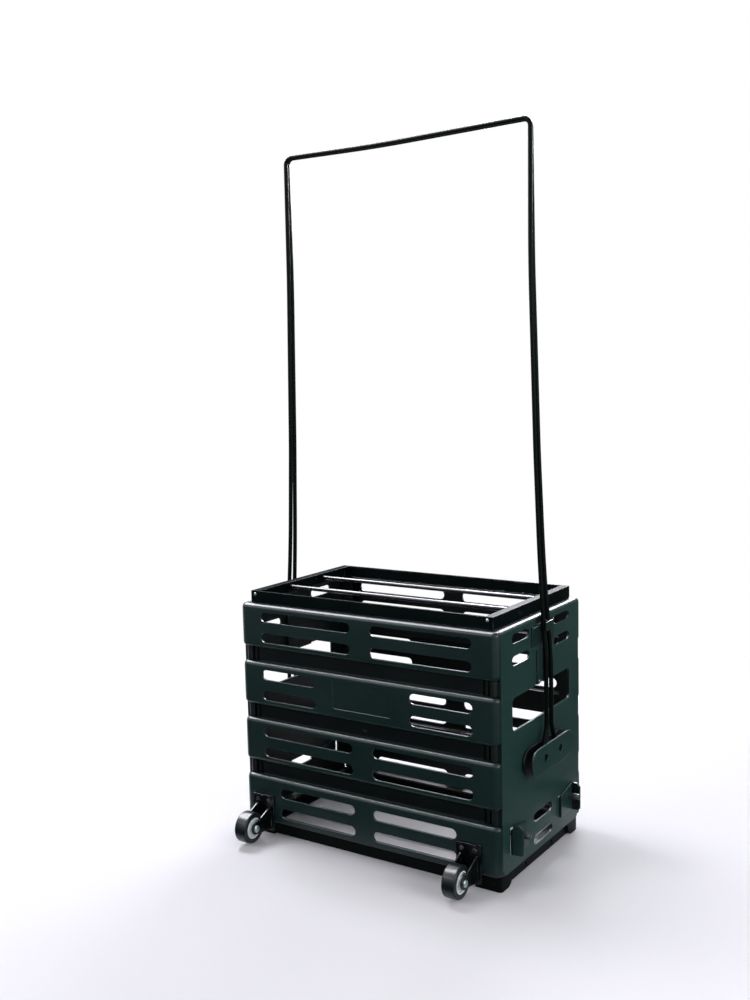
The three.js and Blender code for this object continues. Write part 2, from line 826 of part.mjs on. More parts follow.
// Front right corner foot: an L cap round the corner of the bottom frame, with a sole under it.
function buildFoot() {
  const inX = lowFrameHalfLength + seatGap;
  const inY = frameHalfDepth + seatGap;
  const outX = inX + footSideWall;
  const outY = inY + footWall;
  const top = wallBottom - seatGap;
  const sideEnd = -outY + footSideLength;
  const corner = [
    [outX - footLength, -outY],
    [outX - footChamfer, -outY],
    [outX, -outY + footChamfer],
    [outX, sideEnd],
  ];
  const wall = prism(polygon([
    ...corner,
    [inX, sideEnd],
    [inX, -inY],
    [outX - footLength, -inY],
  ]), 'z', 0, top);
  const sole = prism(polygon([
    ...corner,
    [outX - footSoleWidth, sideEnd],
    [outX - footSoleWidth, -outY + footSoleWidth],
    [outX - footLength, -outY + footSoleWidth],
  ]), 'z', 0, lowFrameBottom - seatGap);
  const sideCut = prism(polygon([
    [sideEnd - footSideCut, -overrun],
    [sideEnd + overrun, -overrun],
    [sideEnd + overrun, top - wallThickness],
    [sideEnd, top - wallThickness],
    [sideEnd - footSideCut / 2, footSideCut / 4],
    [sideEnd - footSideCut, 0],
  ]), 'x', 0, halfLength);
  return wall.add(sole).subtract(sideCut);
}

function footScrew() {
  const x = lowFrameHalfLength + seatGap + footSideWall - footScrewInset;
  const face = -(frameHalfDepth + seatGap + footWall);
  return roundBar('y', screwRadius, face - seatGap - screwHeight, face - seatGap, x, footScrewHeight,
    screwSegments);
}

function frameScrew() {
  const face = -frameHalfDepth - seatGap;
  const z = topFrameBottom + topFrameHeight - frameScrewDrop;
  return roundBar('y', screwRadius, face - screwHeight, face, frameHalfLength - frameScrewInset, z,
    screwSegments);
}

function clipScrew() {
  const face = halfLength + seatGap;
  const z = wallTop - windowDrop + clipScrewRadius * 2;
  return roundBar('x', clipScrewRadius, face, face + clipScrewHeight, -clipScrewOffset, z,
    screwSegments);
}

function buildCornerPin() {
  return roundBar('z', pinRadius, wallBottom + wallThickness + seatGap, wallTop - wallThickness - seatGap,
    pinX, -pinY, pinSegments);
}

function cheekOutline() {
  const plateFace = -(halfDepth + seatGap + casterPlateThickness / 2);
  const tipY = wheelY;
  const tipZ = wheelHeight;
  const shape = new THREE.Shape();
  shape.moveTo(plateFace, cheekBottom);
  shape.lineTo(plateFace, cheekTop);
  shape.lineTo(tipY + cheekTipRadius / 2, tipZ + cheekTipRadius);
  shape.absarc(tipY, tipZ, cheekTipRadius, Math.PI / 2, Math.PI * 1.5, false);
  return shape;
}

// Caster bracket at the middle of its own X: plate on the wall and a cheek each side of the wheel.
function buildCasterBracket() {
  const face = -(halfDepth + seatGap);
  const plate = prism(
    roundedOutline(-casterPlateWidth / 2, casterPlateWidth / 2, casterPlateBottom, casterPlateTop,
      casterPlateCorner),
    'y', face - casterPlateThickness, face, cornerSegments);
  const lip = block(-casterPlateWidth / 2 + casterPlateCorner, casterPlateWidth / 2 - casterPlateCorner,
    face - casterPlateThickness - casterLipReach, face - casterPlateThickness / 2,
    casterPlateTop - casterLipThickness, casterPlateTop);
  const cheekIn = wheelWidth / 2 + cheekGap;
  const cheek = prism(cheekOutline(), 'x', cheekIn, cheekIn + cheekThickness, edgeSegments);
  const bore = roundBar('x', axleRadius + axleClearance, -casterPlateWidth, casterPlateWidth,
    wheelY, wheelHeight, barSegments);
  return joinAll([plate, lip, cheek, mirrorX(cheek)]).subtract(bore);
}

function turned(profile) {
  const points = profile.map(([radius, along]) => new THREE.Vector2(radius, along));
  points.push(points[0].clone());
  const geometry = new THREE.LatheGeometry(points, wheelSegments);
  geometry.rotateZ(-Math.PI / 2);
  geometry.translate(0, wheelY, wheelHeight);
  return toSolid(geometry);
}

function buildTyre() {
  const half = wheelWidth / 2;
  const inner = hubRadius + seatGap;
  const shoulder = wheelRadius - treadRadius;
  const shoulderShares = [Math.sin(Math.PI / 6), Math.cos(Math.PI / 6)];
  const rise = treadRadius * shoulderShares[1];
  const drop = treadRadius * shoulderShares[0];
  return turned([
    [inner, -half],
    [shoulder, -half],
    [shoulder + rise, -half + treadRadius - drop],
    [wheelRadius, -half + treadRadius],
    [wheelRadius, half - treadRadius],
    [shoulder + rise, half - treadRadius + drop],
    [shoulder, half],
    [inner, half],
  ]);
}

// Hub with a dished face on both sides and a raised boss round the axle.
function buildHub() {
  const half = hubWidth / 2;
  const rimIn = hubRadius - hubRimWidth;
  const bore = axleRadius + axleClearance;
  return turned([
    [bore, -half],
    [bossRadius, -half],
    [bossRadius, -half + hubDish],
    [rimIn, -half + hubDish],
    [rimIn, -half],
    [hubRadius, -half],
    [hubRadius, half],
    [rimIn, half],
    [rimIn, half - hubDish],
    [bossRadius, half - hubDish],
    [bossRadius, half],
    [bore, half],
  ]);
}

function buildAxle() {
  const reach = wheelWidth / 2 + cheekGap + cheekThickness + seatGap;
  const shank = roundBar('x', axleRadius, -reach - axleHeadThickness / 2, reach + axleHeadThickness / 2,
    wheelY, wheelHeight, barSegments);
  const head = roundBar('x', axleHeadRadius, reach, reach + axleHeadThickness, wheelY, wheelHeight,
    barSegments);
  return joinAll([shank, head, mirrorX(head)]);
}

function casterBolt(side) {
  const face = -(halfDepth + seatGap + casterPlateThickness + seatGap);
  return roundBar('y', boltRadius, face - boltHeight, face, (side * boltSpacing) / 2,
    casterPlateTop - boltDrop, screwSegments);
}

function addMirrored(group, name, solid, look, sides) {
  for (const [side, flipX, flipY] of sides) {
    let copy = solid;
    if (flipX) {
      copy = mirrorX(copy);
    }
    if (flipY) {
      copy = mirrorY(copy);
    }
    group.add(makeMesh(`${name}_${side}`, copy, look));
  }
}

const ends = [['right', false, false], ['left', true, false]];
const longSides = [['front', false, false], ['back', false, true]];
const corners = [
  ['front_right', false, false],
  ['front_left', true, false],
  ['back_right', false, true],
  ['back_left', true, true],
];

function addBasket(group) {
  addMirrored(group, 'wall', buildLongWall(), plastic, longSides);
  addMirrored(group, 'wall', buildEndWall(), endPlastic, ends);
  addMirrored(group, 'corner_pin', buildCornerPin(), darkZinc, corners);
  const frameTop = buildFrame(frameHalfLength, topFrameHeight, true);
  group.add(makeMesh('frame_top', frameTop.translate([0, 0, topFrameBottom]), framePaint));
  const frameBottom = buildFrame(lowFrameHalfLength, bottomFrameHeight, false);
  group.add(makeMesh('frame_bottom', frameBottom.translate([0, 0, lowFrameBottom]), framePaint));
  const topBar = buildBar(frameHalfLength).translate([0, 0, topFrameBottom + topFrameHeight - barDrop]);
  addMirrored(group, 'top_bar', topBar, barPaint, longSides);
  const lowBar = buildBar(lowFrameHalfLength).translate([0, 0, lowFrameBottom + barDrop]);
  addMirrored(group, 'bottom_bar', lowBar, barPaint, longSides);
  addMirrored(group, 'frame_screw', frameScrew(), zinc, corners);
  addMirrored(group, 'corner_foot', buildFoot(), footPlastic, corners);
  addMirrored(group, 'foot_screw', footScrew(), darkZinc, corners);
}

function addHandles(group) {
  group.add(makeMesh('handle_front', buildHandle(1), wirePaint));
  group.add(makeMesh('handle_back', buildHandle(-1), wirePaint));
  addMirrored(group, 'pivot_bracket', buildBracket(), endPlastic, ends);
  addMirrored(group, 'pivot_pin', buildPivotPin(), darkZinc, corners);
  addMirrored(group, 'handle_clip', buildClip(), plastic, ends);
  addMirrored(group, 'clip_screw', clipScrew(), zinc, ends);
  addMirrored(group, 'leg_catch', buildCatch(), endPlastic, corners);
  addMirrored(group, 'catch_peg', buildPeg(), darkZinc, corners);
}

function addCasters(group) {
  for (const [side, x] of [['right', casterRightX], ['left', casterLeftX]]) {
    const caster = new THREE.Group();
    caster.position.x = x;
    caster.add(makeMesh(`caster_bracket_${side}`, buildCasterBracket(), framePaint));
    caster.add(makeMesh(`tyre_${side}`, buildTyre(), rubber));
    caster.add(makeMesh(`wheel_hub_${side}`, buildHub(), hubPlastic));
    caster.add(makeMesh(`wheel_axle_${side}`, buildAxle(), zinc));
    caster.add(makeMesh(`caster_bolt_outer_${side}`, casterBolt(1), darkZinc));
    caster.add(makeMesh(`caster_bolt_inner_${side}`, casterBolt(-1), darkZinc));
    group.add(caster);
  }
}

const cart = new THREE.Group();
cart.position.y = originShift;
addBasket(cart);
addHandles(cart);
addCasters(cart);

export default cart;
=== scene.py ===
import math

import bmesh
import bpy
from mathutils import Matrix, Vector


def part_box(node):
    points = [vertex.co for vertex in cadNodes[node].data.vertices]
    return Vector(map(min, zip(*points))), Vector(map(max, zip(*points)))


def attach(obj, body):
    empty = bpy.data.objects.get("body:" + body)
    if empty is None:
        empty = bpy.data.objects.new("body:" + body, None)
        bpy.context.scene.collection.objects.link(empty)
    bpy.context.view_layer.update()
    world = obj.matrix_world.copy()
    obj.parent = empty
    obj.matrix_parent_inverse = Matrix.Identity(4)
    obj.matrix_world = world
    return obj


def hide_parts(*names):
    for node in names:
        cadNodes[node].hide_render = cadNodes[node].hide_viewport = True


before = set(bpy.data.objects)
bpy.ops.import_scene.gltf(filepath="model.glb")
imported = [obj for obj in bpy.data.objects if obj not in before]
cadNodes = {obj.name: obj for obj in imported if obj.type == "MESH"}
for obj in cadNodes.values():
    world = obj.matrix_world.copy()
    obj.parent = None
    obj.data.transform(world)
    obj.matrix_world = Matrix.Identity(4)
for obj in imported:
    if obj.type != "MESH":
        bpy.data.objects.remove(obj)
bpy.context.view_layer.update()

mm = 0.001
middleY = 28.75 * mm  # the basket's middle lies this far behind the origin

sides = {"right": 1, "left": -1}
longSides = {"front": -1, "back": 1}
corners = [(x, y) for y in longSides for x in sides]
usualCoarse = 0.55  # how much the finest detail of a pattern shows, where it doesn't say


class Value:
    # one output of a node that can be used in plain arithmetic
    def __init__(self, shader, socket):
        self.shader = shader
        self.socket = socket

    def maths(self, operation, first, second):
        return self.shader.node("ShaderNodeMath", {"operation": operation}, {0: first, 1: second})

    def __add__(self, other):
        return self.maths("ADD", self, other)

    def __radd__(self, other):
        return self.maths("ADD", other, self)

    def __sub__(self, other):
        return self.maths("SUBTRACT", self, other)

    def __rsub__(self, other):
        return self.maths("SUBTRACT", other, self)

    def __mul__(self, other):
        return self.maths("MULTIPLY", self, other)

    def __rmul__(self, other):
        return self.maths("MULTIPLY", other, self)


class Shader:
    # the node tree of one finish; every node is made by node()
    def __init__(self, tree):
        self.tree = tree
        tree.nodes.clear()

    def node(self, kind, settings, inputs, output=0):
        made = self.tree.nodes.new(kind)
        for name, value in settings.items():
            if name == "stops":
                self.setStops(made.color_ramp, value)
            else:
                setattr(made, name, value)
        for name, value in inputs.items():
            self.feed(made.inputs[name], value)
        return Value(self, made.outputs[output]) if made.outputs else None

    def feed(self, socket, value):
        if isinstance(value, Value):
            self.tree.links.new(value.socket, socket)
        else:
            socket.default_value = value

    def setStops(self, ramp, stops):
        while len(ramp.elements) < len(stops):
            ramp.elements.new(1)
        for element, (place, grey) in zip(ramp.elements, stops):
            element.position = place
            element.color = (grey, grey, grey, 1)

    def pattern(self, place, look):
        # noise of a given scale and detail, with a stretch before it or a ramp after it
        if "stretch" in look:
            place = self.node("ShaderNodeVectorMath", {"operation": "MULTIPLY"}, {
                0: place, 1: look["stretch"]})
        noise = self.node("ShaderNodeTexNoise", {}, {
            "Vector": place, "Scale": look["scale"], "Detail": look["detail"],
            "Roughness": look.get("coarse", usualCoarse)})
        if "ramp" not in look:
            return noise
        low, high = look["ramp"]
        return self.node("ShaderNodeValToRGB", {"stops": [(low, 0), (high, 1)]}, {"Fac": noise})

    def patterns(self, place, looks):
        return [self.pattern(place, look) for look in looks.values()]

    def edgeWear(self):
        # 1 on the faces that softenEdges makes
        return self.node("ShaderNodeAttribute", {"attribute_name": "edgeWear"}, {}, "Fac")

    def blend(self, share, first, second):
        # a colour Mix node keeps its two colours in inputs 6 and 7 and its result in output 2
        return self.node("ShaderNodeMix", {"data_type": "RGBA"}, {
            "Factor": share, 6: first, 7: second}, 2)

    def bump(self, height, strength, distance, before=None):
        inputs = {"Height": height, "Strength": strength, "Distance": distance}
        if before:
            inputs["Normal"] = before
        return self.node("ShaderNodeBump", {}, inputs)


def startMaterial(name):
    material = bpy.data.materials.new(name)
    material.use_nodes = True
    shader = Shader(material.node_tree)
    place = shader.node("ShaderNodeTexCoord", {}, {}, "Object")
    return material, shader, place


def finishMaterial(shader, inputs):
    surface = shader.node("ShaderNodeBsdfPrincipled", {}, inputs)
    shader.node("ShaderNodeOutputMaterial", {}, {"Surface": surface})


def rgb(red, green, blue):
    # a colour as a screen shows it, from 0 to 255, turned into scene colour
    def linear(value):
        share = value / 255
        return share / 12.92 if share <= 0.04045 else ((share + 0.055) / 1.055) ** 2.4
    return (linear(red), linear(green), linear(blue), 1)


# moulded plastic: soft mottling, flow lines, fine grain, pits, rubbed edges and scuffs; the
# painted shade that darkens inner faces and grooves is given as the axis across a wall, and
# how far from the middle the shaded inner faces reach
moulded = {
    "finishes": {
        "basketPlastic": {
            "dark": rgb(6, 28, 26), "pale": rgb(12, 36, 34), "edge": rgb(62, 70, 76),
            "rough": 0.34, "shine": 0.36, "grain": 0.12 * mm, "inside": ("Y", 118.4 * mm)},
        "endPlastic": {
            "dark": rgb(21, 48, 43), "pale": rgb(29, 57, 52), "edge": rgb(76, 92, 88),
            "rough": 0.38, "shine": 0.32, "grain": 0.14 * mm, "inside": ("X", 201.3 * mm)},
        # the bracket's painted shade darkens its inner plate and the web between its plates
        "bracketPlastic": {
            "dark": rgb(21, 48, 43), "pale": rgb(29, 57, 52), "edge": rgb(96, 106, 108),
            "rough": 0.34, "shine": 0.4, "grain": 0.14 * mm, "inside": ("X", 218 * mm)},
        "clipPlastic": {
            "dark": rgb(10, 30, 27), "pale": rgb(18, 39, 36), "edge": rgb(66, 76, 80),
            "rough": 0.36, "shine": 0.4, "grain": 0.12 * mm},
        "catchPlastic": {
            "dark": rgb(19, 45, 40), "pale": rgb(27, 54, 49), "edge": rgb(96, 106, 108),
            "rough": 0.3, "shine": 0.5, "grain": 0.12 * mm, "inside": ("Y", 0)},
        # the feet are dark plastic, made darker still as painted shade near the ground
        "footPlastic": {
            "dark": rgb(3, 8, 7), "pale": rgb(7, 13, 12), "edge": rgb(40, 46, 46),
            "rough": 0.5, "shine": 0.06, "grain": 0.2 * mm},
    },
    "patterns": {
        "cloud": {"scale": 9, "detail": 4, "ramp": (0.3, 0.7)},
        "flow": {"scale": 1.6, "detail": 3, "stretch": (14, 14, 90)},
        "grain": {"scale": 1500, "detail": 2},
        "pits": {"scale": 420, "detail": 3},
        "rubbed": {"scale": 70, "detail": 4, "ramp": (0.46, 0.66)},
        "scuffs": {"scale": 4.2, "detail": 6, "coarse": 0.7, "stretch": (40, 40, 7),
                   "ramp": (0.62, 0.78)},
    },
    "cloudTint": 0.6, "flowTint": 0.4, "rubbedTint": 0.5, "scuffTint": 0.12,
    "cloudRough": 0.06, "grainRough": 0.08, "rubbedRough": 0.1, "scuffRough": 0.05,
    "grainBump": 0.35, "pitBump": 0.25, "pitDepth": 2,  # pits are twice as deep as the grain
    # the colour of the painted shade, and how far it covers the shaded faces
    "insideColour": rgb(2, 7, 6), "insideTint": 0.9,
    # painted shade falls on a face turned inwards, where its place times its normal is below
    # the first number, and on one in a groove, where its normal along Y is above the second
    "inwardBelow": -0.02, "grooveAbove": 0.8,
}


def paintedShadeShare(shader, place, axis, limit):
    # where painted shade falls: 1 on faces nearer the middle than the limit or turned towards
    # it, 0 on the outside
    middle = middleY if axis == "Y" else 0
    normal = shader.node("ShaderNodeNewGeometry", {}, {}, "True Normal")
    along = shader.node("ShaderNodeSeparateXYZ", {}, {"Vector": place}, axis) - middle
    facing = shader.node("ShaderNodeSeparateXYZ", {}, {"Vector": normal}, axis)
    distance = shader.node("ShaderNodeMath", {"operation": "ABSOLUTE"}, {0: along})
    near = shader.node("ShaderNodeMath", {"operation": "LESS_THAN"}, {0: distance, 1: limit})
    inward = shader.node("ShaderNodeMath", {"operation": "LESS_THAN"}, {
        0: along * facing, 1: moulded["inwardBelow"]})
    inside = shader.node("ShaderNodeMath", {"operation": "MAXIMUM"}, {0: near, 1: inward})
    if axis == "Y":
        return inside
    # the end walls' edges and ears that face along Y lie in the grooves and get painted shade too
    sideways = shader.node("ShaderNodeSeparateXYZ", {}, {"Vector": normal}, "Y")
    sideways = shader.node("ShaderNodeMath", {"operation": "ABSOLUTE"}, {0: sideways})
    groove = shader.node("ShaderNodeMath", {"operation": "GREATER_THAN"}, {
        0: sideways, 1: moulded["grooveAbove"]})
    return shader.node("ShaderNodeMath", {"operation": "MAXIMUM"}, {0: inside, 1: groove})


def mouldedPlastic(name, look):
    material, shader, place = startMaterial(name)
    m = moulded
    cloud, flow, grain, pits, worn, scuffs = shader.patterns(place, m["patterns"])
    rubbed = shader.edgeWear() * worn
    mottling = cloud * m["cloudTint"] + flow * m["flowTint"]
    colour = shader.blend(mottling, look["dark"], look["pale"])
    colour = shader.blend(rubbed * m["rubbedTint"], colour, look["edge"])
    colour = shader.blend(scuffs * m["scuffTint"], colour, look["edge"])
    # painted shade: inner faces and grooves are darkened towards the shade colour
    if "inside" in look:
        inside = paintedShadeShare(shader, place, *look["inside"])
        colour = shader.blend(inside * m["insideTint"], colour, m["insideColour"])
    rough = look["rough"] + (cloud - 0.5) * m["cloudRough"] + (grain - 0.5) * m["grainRough"]
    rough = rough + rubbed * m["rubbedRough"] + scuffs * m["scuffRough"]
    fine = shader.bump(grain, m["grainBump"], look["grain"])
    normal = shader.bump(pits, m["pitBump"], look["grain"] * m["pitDepth"], fine)
    finishMaterial(shader, {"Base Color": colour, "Roughness": rough, "Normal": normal,
                            "Specular IOR Level": look["shine"]})
    return material


# painted metal: orange peel, specks, rubbed edges and fine scratches
painted = {
    "finishes": {
        "framePaint": {
            "dark": rgb(4, 11, 11), "pale": rgb(10, 18, 18), "edge": rgb(78, 84, 90),
            "rough": 0.38, "shine": 0.025, "peel": 0.08 * mm},
        # painted shade: a darker copy of the frame paint for the bottom ring, shaded near the
        # ground
        "shadedFramePaint": {
            "dark": rgb(2, 6, 5), "pale": rgb(5, 11, 10), "edge": rgb(40, 46, 46),
            "rough": 0.45, "shine": 0.06, "peel": 0.08 * mm},
        "casterPaint": {
            "dark": rgb(2, 5, 5), "pale": rgb(6, 10, 10), "edge": rgb(80, 86, 90),
            "rough": 0.2, "shine": 0.4, "peel": 0.04 * mm},
        "barPaint": {
            "dark": rgb(13, 17, 18), "pale": rgb(24, 28, 31), "edge": rgb(90, 94, 104),
            "rough": 0.24, "shine": 0.5, "peel": 0.04 * mm},
        "wirePaint": {
            "dark": rgb(2, 8, 6), "pale": rgb(6, 14, 11), "edge": rgb(36, 46, 42),
            "rough": 0.36, "shine": 0.05, "peel": 0.06 * mm},
    },
    "patterns": {
        "cloud": {"scale": 14, "detail": 4, "ramp": (0.3, 0.7)},
        "peel": {"scale": 650, "detail": 2},
        "specks": {"scale": 320, "detail": 5, "coarse": 0.7, "ramp": (0.64, 0.72)},
        "rubbed": {"scale": 110, "detail": 4, "ramp": (0.44, 0.62)},
        "scratches": {"scale": 3, "detail": 5, "coarse": 0.75, "stretch": (6, 160, 160),
                      "ramp": (0.66, 0.74)},
    },
    "rubbedTint": 0.55, "scratchTint": 0.18, "speckTint": 0.1,
    "cloudRough": 0.05, "rubbedRough": 0.12, "scratchRough": 0.1, "peelRough": 0.06,
    "peelBump": 0.4,
}


def paintedMetal(name, look):
    material, shader, place = startMaterial(name)
    p = painted
    cloud, peel, specks, worn, scratches = shader.patterns(place, p["patterns"])
    rubbed = shader.edgeWear() * worn
    marks = scratches * p["scratchTint"] + specks * p["speckTint"]
    colour = shader.blend(cloud, look["dark"], look["pale"])
    colour = shader.blend(rubbed * p["rubbedTint"], colour, look["edge"])
    colour = shader.blend(marks, colour, look["edge"])
    rough = look["rough"] + (cloud - 0.5) * p["cloudRough"] + rubbed * p["rubbedRough"]
    rough = rough + scratches * p["scratchRough"] + (peel - 0.5) * p["peelRough"]
    normal = shader.bump(peel, p["peelBump"], look["peel"])
    finishMaterial(shader, {"Base Color": colour, "Roughness": rough, "Normal": normal,
                            "Specular IOR Level": look["shine"]})
    return material


# plated metal for screws, pins and axles
plated = {
    "finishes": {
        "brightZinc": {"dark": rgb(140, 162, 161), "pale": rgb(198, 219, 217), "rough": 0.28},
        "darkZinc": {"dark": rgb(60, 66, 68), "pale": rgb(104, 110, 114), "rough": 0.3},
        "blackZinc": {"dark": rgb(9, 11, 12), "pale": rgb(20, 23, 24), "rough": 0.28},
    },
    "patterns": {
        "cloud": {"scale": 60, "detail": 4, "ramp": (0.3, 0.7)},
        "spangle": {"scale": 900, "detail": 3},
    },
    "spangleRough": 0.2, "cloudRough": 0.1, "metallic": 0.85,
    "spangleBump": 0.3, "spangleDepth": 0.04 * mm,
}


def platedMetal(name, look):
    material, shader, place = startMaterial(name)
    p = plated
    cloud, spangle = shader.patterns(place, p["patterns"])
    colour = shader.blend(cloud, look["dark"], look["pale"])
    rough = look["rough"] + (spangle - 0.5) * p["spangleRough"] + (cloud - 0.5) * p["cloudRough"]
    normal = shader.bump(spangle, p["spangleBump"], p["spangleDepth"])
    finishMaterial(shader, {"Base Color": colour, "Roughness": rough, "Normal": normal,
                            "Metallic": p["metallic"]})
    return material


# tyres and hubs: mottling, grain and a little dust
wheelMade = {
    "finishes": {
        "tyreRubber": {
            "dark": rgb(3, 17, 16), "pale": rgb(7, 26, 24), "dust": rgb(44, 58, 58),
            "rough": 0.32, "shine": 0.4, "grain": {"scale": 160, "detail": 4},
            "depth": 0.03 * mm},
        "hubPlastic": {
            "dark": rgb(196, 203, 201), "pale": rgb(226, 231, 229), "dust": rgb(150, 152, 148),
            "rough": 0.42, "shine": 0.4, "grain": {"scale": 900, "detail": 4},
            "depth": 0.05 * mm},
    },
    "patterns": {
        "cloud": {"scale": 40, "detail": 4, "ramp": (0.3, 0.7)},
        "dust": {"scale": 130, "detail": 5, "coarse": 0.7, "ramp": (0.56, 0.8)},
    },
    "dustTint": 0.16, "dustRough": 0.2, "grainRough": 0.1, "grainBump": 0.35,
}


def wheelFinish(name, look):
    material, shader, place = startMaterial(name)
    w = wheelMade
    cloud, dust = shader.patterns(place, w["patterns"])
    grain = shader.pattern(place, look["grain"])
    colour = shader.blend(cloud, look["dark"], look["pale"])
    colour = shader.blend(dust * w["dustTint"], colour, look["dust"])
    rough = look["rough"] + dust * w["dustRough"] + (grain - 0.5) * w["grainRough"]
    normal = shader.bump(grain, w["grainBump"], look["depth"])
    finishMaterial(shader, {"Base Color": colour, "Roughness": rough, "Normal": normal,
                            "Specular IOR Level": look["shine"]})
    return material


finishes = {}
for makeFinish, family in ((mouldedPlastic, moulded), (paintedMetal, painted),
                           (platedMetal, plated), (wheelFinish, wheelMade)):
    for name, look in family["finishes"].items():
        finishes[name] = makeFinish(name, look)
print("finishes made:", len(finishes))


def addPiece(name, bm, finish, body, replaced):
    mesh = bpy.data.meshes.new(name)
    bm.to_mesh(mesh)
    bm.free()
    piece = bpy.data.objects.new(name, mesh)
    bpy.context.scene.collection.objects.link(piece)
    mesh.materials.append(finishes[finish])
    mesh.shade_smooth()
    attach(piece, body)
    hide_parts(*replaced)
    return piece


# edges turned by more than "sharp" degrees are shaded sharp; those that a piece has rounded
# get "segments" steps
edgeSettings = {"sharp": 50, "segments": 2}


def markSharp(bm):
    for edge in bm.edges:
        if len(edge.link_faces) == 2:
            edge.smooth = edge.calc_face_angle(0) < math.radians(edgeSettings["sharp"])


def softenEdges(bm, width, fromAngle):
    wear = bm.faces.layers.float.new("edgeWear")
    chosen = [edge for edge in bm.edges if len(edge.link_faces) == 2
              and edge.calc_face_angle(0) > math.radians(fromAngle)]
    made = bmesh.ops.bevel(bm, geom=chosen, offset=width, offset_type="OFFSET",
                           affect="EDGES", segments=edgeSettings["segments"], profile=0.5,
                           material=-1, clamp_overlap=False, loop_slide=True)
    for face in made["faces"]:
        face[wear] = 1


def finishFaces(bm):
    bmesh.ops.recalc_face_normals(bm, faces=bm.faces)
    markSharp(bm)


# pieces whose form is the solid's own, with their edges rounded by "width"
softPieces = {
    "basketWall": {"nodes": ["wall_front", "wall_back"], "finish": "basketPlastic",
                   "width": 0.5 * mm},
    "endWall": {"nodes": ["wall_right", "wall_left"], "finish": "endPlastic",
                "width": 0.4 * mm},
    "frameRing": {"nodes": ["frame_top"], "finish": "framePaint", "width": 0.5 * mm},
    # the bottom ring wears the darker frame paint as painted shade near the ground
    "lowFrameRing": {"nodes": ["frame_bottom"], "finish": "shadedFramePaint", "width": 0.5 * mm},
    "bracket": {"nodes": [f"pivot_bracket_{x}" for x in sides], "finish": "bracketPlastic",
                "width": 0.7 * mm},
    "clip": {"nodes": [f"handle_clip_{x}" for x in sides], "finish": "clipPlastic",
             "width": 0.4 * mm},
    "catch": {"nodes": [f"leg_catch_{y}_{x}" for x, y in corners], "finish": "catchPlastic",
              "width": 0.5 * mm},
    "foot": {"nodes": [f"corner_foot_{y}_{x}" for x, y in corners], "finish": "footPlastic",
             "width": 0.8 * mm},
    "casterBracket": {"nodes": [f"caster_bracket_{x}" for x in sides], "finish": "casterPaint",
                      "width": 0.35 * mm},
}
# points this near are merged, faces this flat in degrees are joined, and edges turned by more
# than "fromAngle" are rounded
softCopies = {"mergeWithin": 0.002 * mm, "flatWithin": 0.5, "fromAngle": 50, "faceWeight": 80}


def softName(node, kind):
    # walls and rings are named after their kind and place, the rest after their node
    if kind.endswith(("Wall", "Ring")):
        return f"{kind}_{node.split('_', 1)[1]}"
    return f"{node}_soft"


def softCopy(node, kind, look):
    s = softCopies
    bm = bmesh.new()
    bm.from_mesh(cadNodes[node].data)
    bmesh.ops.remove_doubles(bm, verts=bm.verts, dist=s["mergeWithin"])
    bmesh.ops.dissolve_limit(bm, angle_limit=math.radians(s["flatWithin"]), verts=bm.verts,
                             edges=bm.edges)
    softenEdges(bm, look["width"], s["fromAngle"])
    markSharp(bm)
    piece = addPiece(softName(node, kind), bm, look["finish"], "cart", [node])
    even = piece.modifiers.new("evenShade", "WEIGHTED_NORMAL")
    even.keep_sharp = True
    even.weight = s["faceWeight"]


for kind, look in softPieces.items():
    for node in look["nodes"]:
        softCopy(node, kind, look)
    print("softened:", kind)


def sweepBar(bm, points, radius, around):
    # a round bar swept along points, both ends closed
    heading = (points[1] - points[0]).normalized()
    turn = Vector((0, 0, 1)).rotation_difference(heading).to_matrix().to_4x4()
    ring = bmesh.ops.create_circle(bm, cap_ends=True, segments=around, radius=radius,
                                   matrix=Matrix.Translation(points[0]) @ turn)["verts"]
    rim = list({edge for vert in ring for edge in vert.link_edges})
    for i in range(1, len(points)):
        after = (points[i] - points[i - 1]).normalized()
        if i < len(points) - 1:
            after = (after + (points[i + 1] - points[i]).normalized()).normalized()
        made = bmesh.ops.extrude_edge_only(bm, edges=rim)["geom"]
        verts = [item for item in made if isinstance(item, bmesh.types.BMVert)]
        rim = [item for item in made if isinstance(item, bmesh.types.BMEdge)]
        swing = heading.rotation_difference(after).to_matrix().to_4x4()
        move = Matrix.Translation(points[i]) @ swing @ Matrix.Translation(-points[i - 1])
        bmesh.ops.transform(bm, matrix=move, verts=verts)
        heading = after
    bmesh.ops.contextual_create(bm, geom=rim)


def bendWire(route, steps):
    # the points of a wire whose route is given as (place, bend radius)
    points = [route[0][0]]
    for i in range(1, len(route) - 1):
        place, bend = route[i]
        back = (route[i - 1][0] - place).normalized()
        ahead = (route[i + 1][0] - place).normalized()
        turn = math.pi - back.angle(ahead)
        centre = place + (back + ahead).normalized() * (bend / math.cos(turn / 2))
        start = place + back * (bend * math.tan(turn / 2)) - centre
        axis = back.cross(ahead).normalized()
        for k in range(steps + 1):
            points.append(centre + Matrix.Rotation(-turn * k / steps, 3, axis) @ start)
    points.append(route[-1][0])
    return points


poleWithin = 0.001 * mm  # copies of a point on the axis lie this near each other


def spinOutline(bm, outline, centre, axis, steps, closed=True):
    # (along, out) points spun about an axis; an open outline starts and ends on the axis
    side = Vector((0, 0, 1)) if abs(axis.z) < 0.5 else Vector((1, 0, 0))
    verts = [bm.verts.new(centre + axis * along + side * out) for along, out in outline]
    lines = [bm.edges.new((verts[i], verts[i + 1])) for i in range(len(verts) - 1)]
    if closed:
        lines.append(bm.edges.new((verts[-1], verts[0])))
    bmesh.ops.spin(bm, geom=verts + lines, cent=centre, axis=axis, angle=2 * math.pi,
                   steps=steps, use_merge=True, use_duplicate=False)
    if not closed:
        bmesh.ops.remove_doubles(bm, verts=bm.verts, dist=poleWithin)


